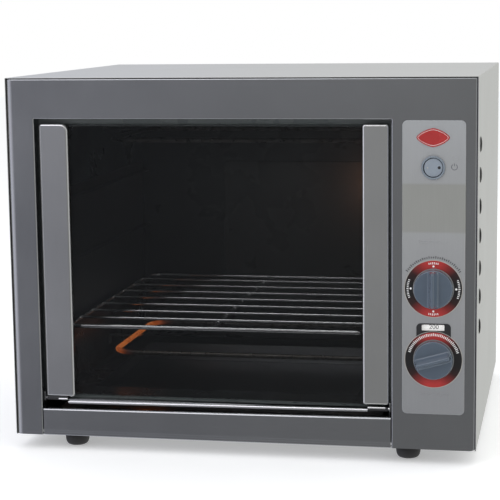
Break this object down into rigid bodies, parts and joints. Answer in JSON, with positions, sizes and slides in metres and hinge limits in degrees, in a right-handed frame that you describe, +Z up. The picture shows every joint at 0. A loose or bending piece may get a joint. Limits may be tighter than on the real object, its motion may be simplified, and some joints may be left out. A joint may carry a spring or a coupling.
{
  "type": "countertop electric oven",
  "caption": "Countertop electric oven: steel cabinet, bottom-hinged glass door, wire shelf, crumb tray, element selector, temperature dial and rocker switch.",
  "frame": {"origin": "centre of the footprint, on the surface that the feet stand on", "axes": "+X to the right seen from the front, +Y towards the back, +Z up"},
  "size_m": [0.5772, 0.531, 0.464],
  "materials": {
    "brushed_steel": "brushed along the cabinet width",
    "front_steel": "polished stainless sheet, dark reflections",
    "stile_steel": "satin",
    "zinc_steel": "zinc coated sheet",
    "dark_enamel": "gloss enamel",
    "mineral_wool": "matt fibres",
    "tray_aluminium": "rolled sheet",
    "chrome_wire": "bright",
    "element_sheath": "oxidised steel tube",
    "ceramic": "unglazed",
    "tinted_glass": "tinted, polished",
    "black_plastic": "fine grain",
    "panel_overlay": "printed satin overlay",
    "clear_window": "clear",
    "scale_print": "printed disc",
    "rocker_plastic": "gloss",
    "knob_plastic": "gloss blue-grey",
    "copper_tube": "drawn copper",
    "rubber": "matt"
  },
  "bodies": {
    "cabinet": {"base_plate": "zinc_steel", "cavity_liner": "dark_enamel", "control_bulkhead": "zinc_steel", "control_mounting_bracket": "zinc_steel", "control_panel_plate": "panel_overlay", "cord_bush": "black_plastic", "door_hinge_bracket_left": "zinc_steel", "door_hinge_bracket_right": "zinc_steel", "door_hinge_pin_left": "chrome_wire", "door_hinge_pin_right": "chrome_wire", "foot_front_left": "rubber", "foot_front_right": "rubber", "foot_rear_left": "rubber", "foot_rear_right": "rubber", "front_fascia": "front_steel", "insulation_blanket": "mineral_wool", "lower_element": "element_sheath", "lower_element_clip": "zinc_steel", "lower_element_insulator_front": "ceramic", "lower_element_insulator_rear": "ceramic", "outer_wrap": "brushed_steel", "rear_cover": "zinc_steel", "rear_cover_screw_lower_left": "zinc_steel", "rear_cover_screw_lower_right": "zinc_steel", "rear_cover_screw_upper_left": "zinc_steel", "rear_cover_screw_upper_right": "zinc_steel", "rear_insulation": "mineral_wool", "scale_window": "clear_window", "selector_switch_body": "black_plastic", "shelf_support_left": "zinc_steel", "shelf_support_right": "zinc_steel", "switch_housing": "black_plastic", "terminal_block": "ceramic", "thermostat_body": "ceramic", "thermostat_bulb": "copper_tube", "tray_runner_left": "zinc_steel", "tray_runner_right": "zinc_steel", "upper_element": "element_sheath", "upper_element_clip": "zinc_steel", "upper_element_insulator_front": "ceramic", "upper_element_insulator_rear": "ceramic"},
    "door": {"door_glass": "tinted_glass", "door_stile_left": "stile_steel", "door_stile_right": "stile_steel", "door_bottom_rail": "stile_steel", "door_hinge_bush_left": "black_plastic", "door_hinge_bush_right": "black_plastic"},
    "crumb_tray": {"crumb_tray_front": "front_steel", "crumb_tray_pan": "tray_aluminium"},
    "shelf": {"wire_shelf": "chrome_wire"},
    "selector": {"selector_knob": "knob_plastic", "selector_shaft": "zinc_steel"},
    "thermostat": {"thermostat_knob": "knob_plastic", "thermostat_shaft": "zinc_steel", "temperature_scale_disc": "scale_print"},
    "rocker": {"switch_rocker": "rocker_plastic"}
  },
  "joints": [
    {"name": "door_hinge", "type": "hinge", "parent": "cabinet", "child": "door", "pos_m": [-0.0336, -0.234, 0.0637], "axis": [1, 0, 0], "range_deg": [0, 90]},
    {"name": "crumb_tray_slide", "type": "slide", "parent": "cabinet", "child": "crumb_tray", "axis": [0, -1, 0], "range_m": [0, 0.3]},
    {"name": "shelf_slide", "type": "slide", "parent": "cabinet", "child": "shelf", "axis": [0, -1, 0], "range_m": [0, 0.004]},
    {"name": "selector_turn", "type": "hinge", "parent": "cabinet", "child": "selector", "pos_m": [0.235, -0.2455, 0.2141], "axis": [0, 1, 0], "range_deg": [0, 270]},
    {"name": "thermostat_turn", "type": "hinge", "parent": "cabinet", "child": "thermostat", "pos_m": [0.2354, -0.2455, 0.1287], "axis": [0, 1, 0], "range_deg": [-170, 120]},
    {"name": "switch_rock", "type": "hinge", "parent": "cabinet", "child": "rocker", "pos_m": [0.2343, -0.2453, 0.3578], "axis": [0, 0, 1], "range_deg": [-14, 0]}
  ]
}
